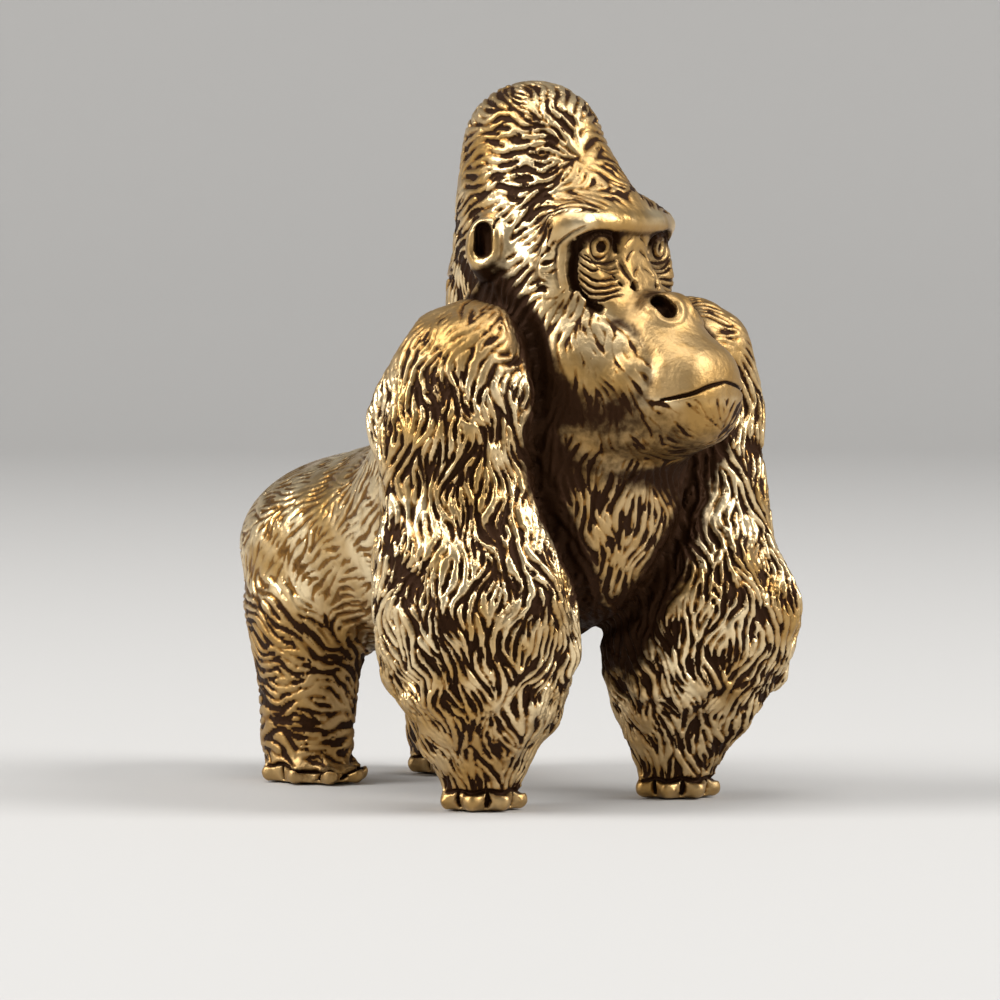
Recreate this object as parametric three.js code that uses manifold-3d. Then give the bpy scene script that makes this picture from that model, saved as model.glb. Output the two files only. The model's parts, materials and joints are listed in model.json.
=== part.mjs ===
// A cast brass silverback gorilla that stands on its knuckles and looks to its left.
// Six solid castings, trunk, head, two arms and two hind legs, meet in scribed seams.
// A brass dowel crosses each seam and holds the two castings in line while they are soldered.
// Millimetres, +Z up. The animal faces -Y and its right side is at -X.
import * as THREE from "three";
import { LoftGeometry } from "three/addons/geometries/LoftGeometry.js";
import { mergeVertices } from "three/addons/utils/BufferGeometryUtils.js";
import Module from "manifold-3d";

const wasm = await Module();
wasm.setup();

// Seams and dowels
const SEAM_GAP = 0.3; // solder room between two castings
const DOWEL_DIAMETER = 2.4;
const DOWEL_LENGTH = 6.6;
const DOWEL_CLEARANCE = 0.12; // round the dowel in its hole, on the radius
const HOLE_END_ROOM = 0.4; // beyond each end of a dowel
const NECK_DOWEL_PITCH = 55; // degrees that the neck dowel rises towards the face

// Trunk. Spans run backwards, from the chest to the rump.
const CHEST_LEAD = 1; // chest ring ahead of the hands
const CHEST_TOP = 26.4;
const CHEST_BOTTOM = 10.4;
const CHEST_WIDTH = 13.4;
const CHEST_BULGE = 4; // roundness in front of the chest ring
const HUMP_SPAN = 8; // chest ring to the hump over the shoulders
const HUMP_TOP = 30.6;
const HUMP_BOTTOM = 7.8;
const HUMP_WIDTH = 15;
const WAIST_SPAN = 7; // hump to waist
const WAIST_TOP = 21.8;
const WAIST_BOTTOM = 7.4;
const WAIST_WIDTH = 14.4;
const RUMP_SPAN = 7.6; // waist to rump
const RUMP_TOP = 19.6;
const RUMP_BOTTOM = 8.4;
const RUMP_WIDTH = 17.4;
const RUMP_BULGE = 6.7; // roundness behind the rump ring

// Arms. A rise is from one ring to the next, an inset is in from the forearm's middle.
const ARM_STANDOFF = 0.3; // forearm's middle outside the trunk's widest part
const HAND_INSET = 1;
const HAND_WIDTH = 4;
const HAND_DEPTH = 3.8;
const WRIST_RISE = 2.4;
const WRIST_INSET = 0.9;
const WRIST_LEAD = 0.1; // ahead of the hand
const WRIST_WIDTH = 5.2;
const WRIST_DEPTH = 5;
const LOWER_ARM_RISE = 4.2;
const LOWER_ARM_INSET = 0.3;
const LOWER_ARM_LEAD = 0.7;
const LOWER_ARM_WIDTH = 10.2;
const LOWER_ARM_DEPTH = 9.2;
const FOREARM_RISE = 5;
const FOREARM_LEAD = 0.9;
const FOREARM_WIDTH = 12.2;
const FOREARM_DEPTH = 11.6;
const ELBOW_RISE = 5;
const ELBOW_INSET = 0.35;
const ELBOW_LAG = 0.4; // behind the hand
const ELBOW_WIDTH = 9.8;
const ELBOW_DEPTH = 9.8;
const UPPER_ARM_RISE = 5.6;
const UPPER_ARM_INSET = 0.4;
const UPPER_ARM_LAG = 1.6;
const UPPER_ARM_WIDTH = 9.8;
const UPPER_ARM_DEPTH = 10.2;
const SHOULDER_RISE = 4;
const SHOULDER_INSET = 0.7;
const SHOULDER_LAG = 1.2;
const SHOULDER_WIDTH = 7;
const SHOULDER_DEPTH = 8;
const SHOULDER_BULGE = 2.6; // roundness above the shoulder ring
const LEFT_SHOULDER_PUSH = 1.2; // the left shoulder stands further out than the right
const FINGER_DIAMETER = 1.15;
const FINGER_COUNT = 5;
const FINGER_FAN = 190; // degrees of the hand's edge that the fingers take up

// Hind legs. A lead is how far a ring lies ahead of the rump ring.
const HIP_RISE = 2.4; // hip ring above the underside of the rump
const HIP_INSET = 3.5; // in from the rump's side
const HIP_LEAD = 0.6;
const HIP_WIDTH = 7;
const HIP_DEPTH = 9.4;
const HIP_BULGE = 3.4; // roundness above the hip ring
const SHIN_HEIGHT = 5.4;
const SHIN_LEAD = 0.8;
const SHIN_WIDTH = 5.6;
const SHIN_DEPTH = 6.4;
const ANKLE_HEIGHT = 2;
const ANKLE_LEAD = 0.6;
const ANKLE_WIDTH = 5.2;
const ANKLE_DEPTH = 6;
const FOOT_LEAD = 1.3;
const FOOT_WIDTH = 4.8;
const FOOT_LENGTH = 6.6;
const TOE_DIAMETER = 1.2;
const TOE_COUNT = 6;
const TOE_FAN = 210; // degrees of the foot's edge that the toes take up

// Head. It turns on the neck point, which lies on top of the trunk.
const NECK_LAG = 2.2; // neck point behind the hands
const HEAD_TURN = 17; // degrees to the animal's left
const CHEEK_DROP = 3.2; // below the neck point
const CHEEK_FORWARD = 3; // towards the face from the neck point, like every forward below
const CHEEK_WIDTH = 11.4;
const CHEEK_DEPTH = 13;
const JAW_DROP = 3.6; // below the cheeks
const JAW_FORWARD = 5;
const JAW_WIDTH = 10;
const JAW_DEPTH = 11;
const JAW_BULGE = 1.6; // roundness below the jaw
const TEMPLE_RISE = 3.2; // above the neck point
const TEMPLE_BACK = 0.4;
const TEMPLE_WIDTH = 10.4;
const TEMPLE_DEPTH = 12;
const FOREHEAD_RISE = 3; // above the temples
const FOREHEAD_BACK = 0.7;
const FOREHEAD_WIDTH = 9;
const FOREHEAD_DEPTH = 11.6;
const CROWN_RISE = 3.6; // above the forehead
const CROWN_BACK = 1.8;
const CROWN_WIDTH = 7;
const CROWN_DEPTH = 8.8;
const CROWN_BULGE = 3.6; // roundness of the dome above the crown ring
const NAPE_RISE = 1.3;
const NAPE_BACK = 3.6;
const NAPE_WIDTH = 7.6;
const NAPE_DEPTH = 7.4;
const NAPE_HEIGHT = 8.5;

// Face. Rises and drops are from the neck point.
const MUZZLE_FORWARD = 4;
const MUZZLE_DROP = 3.1;
const MUZZLE_WIDTH = 9.6;
const MUZZLE_HEIGHT = 9;
const NOSE_SPAN = 3.8; // in front of the muzzle's root
const NOSE_RING_DROP = 3.7;
const NOSE_RING_WIDTH = 7.6;
const NOSE_RING_HEIGHT = 8.4;
const NOSE_DROP = 0.1;
const NOSE_WIDTH = 4.4;
const NOSE_DEPTH = 3.4;
const NOSE_HEIGHT = 2.8;
const LIP_SPAN = 3.2; // in front of the nose ring
const LIP_DROP = 4.6;
const LIP_WIDTH = 5.6;
const LIP_HEIGHT = 5.6;
const LIP_BULGE = 1;
const NOSTRIL_SPREAD = 1.15;
const NOSTRIL_DIAMETER = 1.2;
const CHEEKBONE_RISE = 2.4;
const CHEEKBONE_FORWARD = 3;
const CHEEKBONE_SPREAD = 3;
const CHEEKBONE_WIDTH = 3.8;
const CHEEKBONE_DEPTH = 5.6;
const CHEEKBONE_HEIGHT = 6.6;
const BROW_RISE = 5.2;
const BROW_STANDOFF = 0.2; // middle of the bar in front of the forehead
const BROW_SPREAD = 4.6; // of its two ends
const BROW_SWEEP = 1.5; // how far the ends lie behind the middle
const BROW_THICKNESS = 1.8;
const BROW_DEPTH = 2.4;
const EYE_RISE = 3.8;
const EYE_SINK = 1.1; // middle of the eye behind the front of the temples
const EYE_SPREAD = 2.4;
const EYE_DIAMETER = 2;
const SOCKET_WIDTH = 3.4;
const SOCKET_HEIGHT = 3;
const SOCKET_DEPTH = 2.8;
const EAR_RISE = 3.8;
const EAR_BACK = 1.2;
const EAR_LENGTH = 3.6;
const EAR_DEPTH = 2.6;
const EAR_STANDOFF = 1; // out from the temple
const EAR_RIM = 0.6;

// Facets
const RING_SIDES = 24;
const RINGS_PER_SPAN = 2;
const DOME_RINGS = 4;
const DOME_TURN = 85; // degrees from a dome's foot to its small flat top
const BALL = { sides: 14, rings: 10 };
const SMALL_BALL = { sides: 8, rings: 6 };
const DOWEL_SIDES = 20;

const X = new THREE.Vector3(1, 0, 0);
const Y = new THREE.Vector3(0, 1, 0);
const Z = new THREE.Vector3(0, 0, 1);
const SIDES = { right: -1, left: 1 };
const { degToRad, lerp } = THREE.MathUtils;

// A closed geometry as a solid that can be joined and cut.
function solidOf(geometry) {
  const bare = new THREE.BufferGeometry();
  bare.setAttribute("position", geometry.getAttribute("position"));
  bare.setIndex(geometry.index);
  const merged = mergeVertices(bare, 1e-4);
  const vertProperties = merged.getAttribute("position").array;
  const triVerts = new Uint32Array(merged.index.array);
  return new wasm.Manifold(new wasm.Mesh({ numProp: 3, vertProperties, triVerts }));
}

// A solid as a geometry that can be shown.
function geometryOf(solid) {
  const { vertProperties, triVerts } = solid.getMesh();
  const geometry = new THREE.BufferGeometry();
  geometry.setAttribute("position", new THREE.BufferAttribute(vertProperties, 3));
  geometry.setIndex(new THREE.BufferAttribute(triVerts, 1));
  geometry.computeVertexNormals();
  return geometry;
}

const join = (solids) => solids.reduce((whole, next) => whole.add(next));

// One ring of a loft: its centre and its full size along the ring's two axes.
function ring(x, y, z, across, along) {
  return { centre: new THREE.Vector3(x, y, z), size: new THREE.Vector3(across, along, 0) };
}

// A smooth form through the given rings, which lie square to an axis of the body. Its ends are
// domes of the given heights, or flat where there is none. Grow makes it larger all round.
function loft(rings, acrossAxis, alongAxis, { startDome = 0, endDome = 0, grow = 0 }) {
  const centres = new THREE.CatmullRomCurve3(rings.map((r) => r.centre));
  const sizes = new THREE.CatmullRomCurve3(rings.map((r) => r.size));
  const heading = new THREE.Vector3().crossVectors(acrossAxis, alongAxis);
  const steps = (rings.length - 1) * RINGS_PER_SPAN;
  const sections = [];

  const addSection = (t, scale, shift) => {
    const centre = centres.getPoint(t).addScaledVector(heading, shift);
    const half = sizes.getPoint(t).addScalar(2 * grow).multiplyScalar(scale / 2);
    const points = [];
    for (let i = 0; i < RING_SIDES; i++) {
      const turn = (2 * Math.PI * i) / RING_SIDES;
      const point = centre.clone().addScaledVector(acrossAxis, half.x * Math.cos(turn));
      points.push(point.addScaledVector(alongAxis, half.y * Math.sin(turn)));
    }
    sections.push(points);
  };
  const addDomeSection = (t, height, i) => {
    const turn = degToRad((DOME_TURN * i) / DOME_RINGS);
    addSection(t, Math.cos(turn), (height + Math.sign(height) * grow) * Math.sin(turn));
  };

  if (startDome) for (let i = DOME_RINGS; i > 0; i--) addDomeSection(0, -startDome, i);
  for (let i = 0; i <= steps; i++) addSection(i / steps, 1, 0);
  if (endDome) for (let i = 1; i <= DOME_RINGS; i++) addDomeSection(1, endDome, i);
  return solidOf(new LoftGeometry(sections, { capStart: true, capEnd: true }));
}

// An egg-shaped lump of three full sizes.
function egg(x, y, z, width, depth, height, facets = BALL) {
  const ball = new THREE.SphereGeometry(0.5, facets.sides, facets.rings);
  return solidOf(ball.rotateX(Math.PI / 2).scale(width, depth, height).translate(x, y, z));
}

// A round bar centred on a point, for a dowel or for the hole that takes it.
function roundBar(diameter, length, { centre, direction }) {
  const bar = new THREE.CylinderGeometry(diameter / 2, diameter / 2, length, DOWEL_SIDES);
  bar.applyQuaternion(new THREE.Quaternion().setFromUnitVectors(Y, direction));
  return solidOf(bar.translate(centre.x, centre.y, centre.z));
}

// Places that more than one piece is built on
const humpReach = HUMP_SPAN - CHEST_LEAD;
const waistReach = humpReach + WAIST_SPAN;
const rumpReach = waistReach + RUMP_SPAN;
const armSpread = HUMP_WIDTH / 2 + ARM_STANDOFF;
const upperArmHeight = WRIST_RISE + LOWER_ARM_RISE + FOREARM_RISE + ELBOW_RISE + UPPER_ARM_RISE;
const hipSpread = RUMP_WIDTH / 2 - HIP_INSET;
const noseForward = MUZZLE_FORWARD + NOSE_SPAN;
const browForward = FOREHEAD_DEPTH / 2 - FOREHEAD_BACK + BROW_STANDOFF;
const eyeForward = TEMPLE_DEPTH / 2 - TEMPLE_BACK - EYE_SINK;
const neckHeight = lerp(CHEST_TOP, HUMP_TOP, (NECK_LAG + CHEST_LEAD) / HUMP_SPAN);

// Trunk: a loft from the rump to the chest.
function trunkForm(grow = 0) {
  const trunkRing = (reach, top, bottom, width) =>
    ring(0, reach, (top + bottom) / 2, width, top - bottom);
  const rings = [
    trunkRing(rumpReach, RUMP_TOP, RUMP_BOTTOM, RUMP_WIDTH),
    trunkRing(waistReach, WAIST_TOP, WAIST_BOTTOM, WAIST_WIDTH),
    trunkRing(humpReach, HUMP_TOP, HUMP_BOTTOM, HUMP_WIDTH),
    trunkRing(-CHEST_LEAD, CHEST_TOP, CHEST_BOTTOM, CHEST_WIDTH),
  ];
  return loft(rings, X, Z, { startDome: RUMP_BULGE, endDome: CHEST_BULGE, grow });
}

// A row of round finger or toe tips on the front edge of a hand or foot.
function tips(count, fan, diameter, x, y, width, depth) {
  const row = [];
  for (let i = 0; i < count; i++) {
    const turn = degToRad(fan * (i / (count - 1) - 0.5) - 90);
    const tipX = x + (width / 2) * Math.cos(turn);
    const tipY = y + (depth / 2) * Math.sin(turn);
    row.push(egg(tipX, tipY, diameter / 2, diameter, diameter, diameter, SMALL_BALL));
  }
  return join(row);
}

// Arm: a loft from the flat knuckles up to the shoulder, with the fingertips in front.
function armForm(side) {
  const push = side === SIDES.left ? LEFT_SHOULDER_PUSH : 0;
  let height = 0;
  const armRing = (rise, inset, lag, width, depth) => {
    height += rise;
    return ring(side * (armSpread - inset), lag, height, width, depth);
  };
  const rings = [
    armRing(0, HAND_INSET, 0, HAND_WIDTH, HAND_DEPTH),
    armRing(WRIST_RISE, WRIST_INSET, -WRIST_LEAD, WRIST_WIDTH, WRIST_DEPTH),
    armRing(LOWER_ARM_RISE, LOWER_ARM_INSET, -LOWER_ARM_LEAD, LOWER_ARM_WIDTH, LOWER_ARM_DEPTH),
    armRing(FOREARM_RISE, 0, -FOREARM_LEAD, FOREARM_WIDTH, FOREARM_DEPTH),
    armRing(ELBOW_RISE, ELBOW_INSET, ELBOW_LAG, ELBOW_WIDTH, ELBOW_DEPTH),
    armRing(
      UPPER_ARM_RISE, UPPER_ARM_INSET - push / 3, UPPER_ARM_LAG, UPPER_ARM_WIDTH, UPPER_ARM_DEPTH,
    ),
    armRing(SHOULDER_RISE, SHOULDER_INSET - push, SHOULDER_LAG, SHOULDER_WIDTH, SHOULDER_DEPTH),
  ];
  const handX = side * (armSpread - HAND_INSET);
  const fingers = tips(
    FINGER_COUNT, FINGER_FAN, FINGER_DIAMETER, handX, 0, HAND_WIDTH, HAND_DEPTH,
  );
  return loft(rings, X, Y, { endDome: SHOULDER_BULGE }).add(fingers);
}

// Hind leg: a loft from the flat sole up to the hip, with the toes in front.
function legForm(side) {
  const legX = side * hipSpread;
  const legRing = (height, lead, width, depth) => ring(legX, rumpReach - lead, height, width, depth);
  const rings = [
    legRing(0, FOOT_LEAD, FOOT_WIDTH, FOOT_LENGTH),
    legRing(ANKLE_HEIGHT, ANKLE_LEAD, ANKLE_WIDTH, ANKLE_DEPTH),
    legRing(SHIN_HEIGHT, SHIN_LEAD, SHIN_WIDTH, SHIN_DEPTH),
    legRing(RUMP_BOTTOM + HIP_RISE, HIP_LEAD, HIP_WIDTH, HIP_DEPTH),
  ];
  const toes = tips(
    TOE_COUNT, TOE_FAN, TOE_DIAMETER, legX, rumpReach - FOOT_LEAD, FOOT_WIDTH, FOOT_LENGTH,
  );
  return loft(rings, X, Y, { endDome: HIP_BULGE }).add(toes);
}

// Skull, nape and muzzle, facing straight ahead, with the neck point at the origin.
function headForm(grow = 0) {
  const skullRing = (rise, forward, width, depth) => ring(0, -forward, rise, width, depth);
  const foreheadRise = TEMPLE_RISE + FOREHEAD_RISE;
  const skullRings = [
    skullRing(-CHEEK_DROP - JAW_DROP, JAW_FORWARD, JAW_WIDTH, JAW_DEPTH),
    skullRing(-CHEEK_DROP, CHEEK_FORWARD, CHEEK_WIDTH, CHEEK_DEPTH),
    skullRing(TEMPLE_RISE, -TEMPLE_BACK, TEMPLE_WIDTH, TEMPLE_DEPTH),
    skullRing(foreheadRise, -FOREHEAD_BACK, FOREHEAD_WIDTH, FOREHEAD_DEPTH),
    skullRing(foreheadRise + CROWN_RISE, -CROWN_BACK, CROWN_WIDTH, CROWN_DEPTH),
  ];
  const muzzleRings = [
    ring(0, -MUZZLE_FORWARD, -MUZZLE_DROP, MUZZLE_WIDTH, MUZZLE_HEIGHT),
    ring(0, -noseForward, -NOSE_RING_DROP, NOSE_RING_WIDTH, NOSE_RING_HEIGHT),
    ring(0, -noseForward - LIP_SPAN, -LIP_DROP, LIP_WIDTH, LIP_HEIGHT),
  ];
  const skull = loft(skullRings, X, Y, { startDome: JAW_BULGE, endDome: CROWN_BULGE, grow });
  const muzzle = loft(muzzleRings, X, Z, { endDome: LIP_BULGE, grow });
  const room = 2 * grow;
  const nape = egg(0, NAPE_BACK, NAPE_RISE, NAPE_WIDTH + room, NAPE_DEPTH + room, NAPE_HEIGHT + room);
  return join([skull, muzzle, nape]);
}

// The brow is a bar that sweeps back at both ends.
function browForm() {
  const browRing = (spread, behind) =>
    ring(spread, behind - browForward, BROW_RISE, BROW_DEPTH, BROW_THICKNESS);
  const rings = [
    browRing(-BROW_SPREAD, BROW_SWEEP),
    browRing(-BROW_SPREAD / 2, BROW_SWEEP / 4),
    browRing(BROW_SPREAD / 2, BROW_SWEEP / 4),
    browRing(BROW_SPREAD, BROW_SWEEP),
  ];
  const roundEnd = BROW_THICKNESS / 2;
  return loft(rings, Y, Z, { startDome: roundEnd, endDome: roundEnd });
}

// Adds nose, cheekbones, brow, eyes and ears to a head.
function withFace(head) {
  let face = head.add(egg(0, -noseForward, -NOSE_DROP, NOSE_WIDTH, NOSE_DEPTH, NOSE_HEIGHT));
  for (const side of Object.values(SIDES)) {
    const boneX = side * CHEEKBONE_SPREAD;
    const bone = egg(
      boneX, -CHEEKBONE_FORWARD, CHEEKBONE_RISE, CHEEKBONE_WIDTH, CHEEKBONE_DEPTH, CHEEKBONE_HEIGHT,
    );
    const eyeX = side * EYE_SPREAD;
    const socketY = -eyeForward - SOCKET_DEPTH / 2;
    const socket = egg(eyeX, socketY, EYE_RISE, SOCKET_WIDTH, SOCKET_DEPTH, SOCKET_HEIGHT);
    const eye = egg(eyeX, -eyeForward, EYE_RISE, EYE_DIAMETER, EYE_DIAMETER, EYE_DIAMETER);
    const nostrilX = side * NOSTRIL_SPREAD;
    const nostril = egg(
      nostrilX, -noseForward - NOSE_DEPTH / 2, -NOSE_DROP,
      NOSTRIL_DIAMETER, NOSTRIL_DIAMETER, NOSTRIL_DIAMETER, SMALL_BALL,
    );
    const earX = (side * TEMPLE_WIDTH) / 2;
    const ear = egg(earX, EAR_BACK, EAR_RISE, 2 * EAR_STANDOFF, EAR_DEPTH, EAR_LENGTH);
    const hollow = egg(
      earX + side * EAR_STANDOFF, EAR_BACK, EAR_RISE,
      EAR_STANDOFF, EAR_DEPTH - 2 * EAR_RIM, EAR_LENGTH - 2 * EAR_RIM,
    );
    face = face.add(bone).subtract(socket).add(eye).subtract(nostril).add(ear).subtract(hollow);
  }
  return face.add(browForm());
}

const turnHead = (solid) => solid.rotate([0, 0, HEAD_TURN]).translate([0, NECK_LAG, neckHeight]);

// The five seams: where each dowel lies and which way it points.
const pitch = degToRad(NECK_DOWEL_PITCH);
const seams = {
  neck: {
    centre: new THREE.Vector3(0, NECK_LAG, neckHeight),
    direction: new THREE.Vector3(0, -Math.cos(pitch), Math.sin(pitch)),
  },
};
for (const [name, side] of Object.entries(SIDES)) {
  seams[`${name}_shoulder`] = {
    centre: new THREE.Vector3((side * CHEST_WIDTH) / 2, UPPER_ARM_LAG, upperArmHeight),
    direction: X,
  };
  seams[`${name}_hip`] = {
    centre: new THREE.Vector3(side * hipSpread, rumpReach - HIP_LEAD, RUMP_BOTTOM + HIP_RISE / 2),
    direction: Z,
  };
}
const holeDiameter = DOWEL_DIAMETER + 2 * DOWEL_CLEARANCE;
const holeLength = DOWEL_LENGTH + 2 * HOLE_END_ROOM;
const holes = join(Object.values(seams).map((seam) => roundBar(holeDiameter, holeLength, seam)));

// The castings. Each smaller one is scribed to the larger ones that it meets.
const trunkRoom = trunkForm(SEAM_GAP);
const headRoom = turnHead(headForm(SEAM_GAP));
const castings = { trunk: trunkForm(), head: turnHead(withFace(headForm())).subtract(trunkRoom) };
for (const [name, side] of Object.entries(SIDES)) {
  castings[`${name}_arm`] = armForm(side).subtract(trunkRoom).subtract(headRoom);
  castings[`${name}_leg`] = legForm(side).subtract(trunkRoom);
}

// Antique brass for the castings, drawn brass for the dowels.
const castBrass = { color: 0xb48a45, metalness: 1, roughness: 0.34 };
const drawnBrass = { color: 0xc9a45a, metalness: 1, roughness: 0.28 };

const figure = new THREE.Group();
function addPiece(name, solid, finish) {
  const piece = new THREE.Mesh(geometryOf(solid), new THREE.MeshStandardMaterial(finish));
  piece.name = name;
  figure.add(piece);
}
for (const [name, casting] of Object.entries(castings))
  addPiece(name, casting.subtract(holes), castBrass);
for (const [name, seam] of Object.entries(seams))
  addPiece(`${name}_dowel`, roundBar(DOWEL_DIAMETER, DOWEL_LENGTH, seam), drawnBrass);

// The origin is on the ground, under the middle of the figure.
const middle = new THREE.Box3().setFromObject(figure).getCenter(new THREE.Vector3());
figure.position.set(-middle.x, -middle.y, 0);

export default figure;
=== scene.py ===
import json
import math

import bmesh
import bpy
import numpy as np
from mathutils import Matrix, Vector, noise
from mathutils.bvhtree import BVHTree


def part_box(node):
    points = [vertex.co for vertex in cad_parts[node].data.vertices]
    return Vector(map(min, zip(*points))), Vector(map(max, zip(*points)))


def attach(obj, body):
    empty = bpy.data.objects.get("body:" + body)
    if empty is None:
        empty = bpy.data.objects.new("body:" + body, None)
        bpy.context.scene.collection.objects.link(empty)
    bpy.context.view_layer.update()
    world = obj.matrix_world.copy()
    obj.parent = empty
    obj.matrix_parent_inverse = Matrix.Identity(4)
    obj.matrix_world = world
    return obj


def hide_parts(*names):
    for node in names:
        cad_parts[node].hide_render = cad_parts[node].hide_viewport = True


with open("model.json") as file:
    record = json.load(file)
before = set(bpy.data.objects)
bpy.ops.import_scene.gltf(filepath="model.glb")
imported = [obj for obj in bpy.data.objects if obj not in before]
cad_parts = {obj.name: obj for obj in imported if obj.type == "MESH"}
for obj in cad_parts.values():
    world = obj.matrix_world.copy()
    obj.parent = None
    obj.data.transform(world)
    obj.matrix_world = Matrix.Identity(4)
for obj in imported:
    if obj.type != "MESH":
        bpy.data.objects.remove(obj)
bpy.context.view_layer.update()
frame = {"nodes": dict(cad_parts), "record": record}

# Blank figure. Six solid brass castings are soldered together over their dowels. The seams are
# filled and filed away, so one smooth skin runs over all six. It is worked in millimetres, as a net
# of quads, and is parted again along the seams at the end.
MM = 0.001
CASTINGS = ("trunk", "head", "right_arm", "left_arm", "right_leg", "left_leg")
TRUNK = CASTINGS.index("trunk")
ARMS = [CASTINGS.index("right_arm"), CASTINGS.index("left_arm")]
SAME_POINT = 1e-3
SOLDER_FILL = 0.25  # every casting is swelled by this, which closes the seams
FILED_OFF = 0.12  # of that on plain places, and all of it on fine ones
SKIN_STEP = 0.265  # between two points of the skin
FILE_PASSES = 30
FILE_PRESS = 0.6  # how far a pass takes a point towards its neighbours
FINE_FILE_PRESS = 0.06  # on fingers, toes, eyes, nose and ears
SEAM_PASSES = 12  # ease the line where one casting ends and the next begins
SEAM_PRESS = 0.8
FINGER_TOP = (1.5, 2.3)  # from the ground
HEAD_TURN = math.radians(17)
# Fine places of the head, in millimetres from the neck
EYES_FRONT = (3.4, 4.4)
EYES_BOTTOM = (-0.6, 0.2)
EYES_TOP = (4.2, 4.8)
NOSE_FRONT = (5.6, 6.6)
NOSE_BOTTOM = (-3.0, -2.0)
NOSE_FINENESS = 0.15
EAR_OUT = 5.2
EAR_FORWARD = -1.2
EAR_RISE = 3.8
EAR_SQUASH = 0.8
EAR_REACH = (2.0, 3.0)


def in_millimetres(node):
    """A copy of a CAD node's mesh, enlarged to millimetres."""
    form = bmesh.new()
    form.from_mesh(frame["nodes"][node].data)
    bmesh.ops.scale(form, vec=(1 / MM,) * 3, verts=form.verts)
    return form


def swelled(node):
    """A merged copy of a CAD node, a little larger all round."""
    form = in_millimetres(node)
    bmesh.ops.remove_doubles(form, verts=form.verts, dist=SAME_POINT)
    form.normal_update()
    for point in form.verts:
        point.co += point.normal * SOLDER_FILL
    mesh = bpy.data.meshes.new(node)
    form.to_mesh(mesh)
    form.free()
    return mesh


def worked(mesh, tool, inputs=(), **settings):
    """The mesh after one modifier. Inputs are those of a node tree, by identifier."""
    bench = bpy.data.objects.new("bench", mesh)
    bpy.context.scene.collection.objects.link(bench)
    modifier = bench.modifiers.new("tool", tool)
    for name, value in settings.items():
        setattr(modifier, name, value)
    for identifier, value in dict(inputs).items():
        modifier[identifier] = value
    graph = bpy.context.evaluated_depsgraph_get()
    result = bpy.data.meshes.new_from_object(bench.evaluated_get(graph))
    bpy.data.objects.remove(bench)
    return result


def rows(collection, name, kind, width):
    """One property of every element of a mesh, as an array of rows."""
    flat = np.empty(len(collection) * width, kind)
    collection.foreach_get(name, flat)
    return flat.reshape(-1, width)


def sides_of(quads):
    """The two ends of every edge of a quad mesh, and for each quad the numbers of its four edges."""
    ends = np.stack((quads, np.roll(quads, -1, 1)), 2).reshape(-1, 2)
    ends.sort(axis=1)
    keys = ends[:, 0].astype(np.int64) * (quads.max() + 1) + ends[:, 1]
    _, first, which = np.unique(keys, return_index=True, return_inverse=True)
    return ends[first], which.reshape(-1, 4)


def rubbed(columns, ends, passes, press):
    """Columns of values after light passes of a file, each towards the mean of its neighbours."""
    here = np.concatenate((ends[:, 0], ends[:, 1]))
    there = np.concatenate((ends[:, 1], ends[:, 0]))
    share = np.bincount(here, minlength=len(columns))[:, None]
    for _ in range(passes):
        sums = [np.bincount(here, column[there], len(columns)) for column in columns.T]
        columns = columns + press * (np.stack(sums, 1) / share - columns)
    return columns


def normals_of(points, quads):
    """The outward direction at each point of a quad mesh."""
    first, second, third, fourth = (points[quads[:, corner]] for corner in range(4))
    crossed = np.cross(third - first, fourth - second)
    corners = quads.ravel()
    sums = [np.bincount(corners, np.repeat(part, 4), len(points)) for part in crossed.T]
    sums = np.stack(sums, 1)
    return sums / np.linalg.norm(sums, axis=1, keepdims=True)


def fade(values, start, end):
    """0 up to start and 1 from end, smooth between them."""
    share = np.clip((values - start) / (end - start), 0, 1)
    return share * share * (3 - 2 * share)


neck_low, neck_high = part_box("neck_dowel")
neck = np.array((neck_low + neck_high) / 2) / MM
head_axes = np.array((
    (math.cos(HEAD_TURN), math.sin(HEAD_TURN), 0),
    (math.sin(HEAD_TURN), -math.cos(HEAD_TURN), 0),
    (0, 0, 1),
))


def in_head(points):
    """Points as seen from the neck: to the head's left, forward and up."""
    return (points - neck) @ head_axes.T


joined = bmesh.new()
for node in frame["nodes"]:
    joined.from_mesh(swelled(node))
blank = bpy.data.meshes.new("blank")
joined.to_mesh(blank)
joined.free()
blank = worked(blank, "REMESH", mode="VOXEL", voxel_size=SKIN_STEP)
points = rows(blank.vertices, "co", np.float32, 3).astype(float)
quads = rows(blank.loops, "vertex_index", np.int32, 1).reshape(-1, 4)
ends, _ = sides_of(quads)

left, forward, rise = in_head(points).T
eyes = fade(forward, *EYES_FRONT) * fade(rise, *EYES_BOTTOM) * (1 - fade(rise, *EYES_TOP))
nose = NOSE_FINENESS * fade(forward, *NOSE_FRONT) * fade(rise, *NOSE_BOTTOM)
from_ear = (np.abs(left) - EAR_OUT, forward - EAR_FORWARD, (rise - EAR_RISE) * EAR_SQUASH)
ears = 1 - fade(np.linalg.norm(from_ear, axis=0), *EAR_REACH)
fingers = 1 - fade(points[:, 2], *FINGER_TOP)
fine = np.max((eyes, nose, ears, fingers), axis=0)[:, None]
points = rubbed(points, ends, FILE_PASSES, FILE_PRESS + (FINE_FILE_PRESS - FILE_PRESS) * fine)
points -= (FILED_OFF + (SOLDER_FILL - FILED_OFF) * fine) * normals_of(points, quads)
points[:, 2] = np.maximum(points[:, 2], 0)

# Each face of the skin belongs to the casting that lies nearest, along eased lines.
trees = {}
for node in CASTINGS:
    form = in_millimetres(node)
    trees[node] = BVHTree.FromBMesh(form)
    form.free()


def nearest_casting(place):
    gaps = [trees[node].find_nearest(place)[3] for node in CASTINGS]
    return gaps.index(min(gaps))


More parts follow.
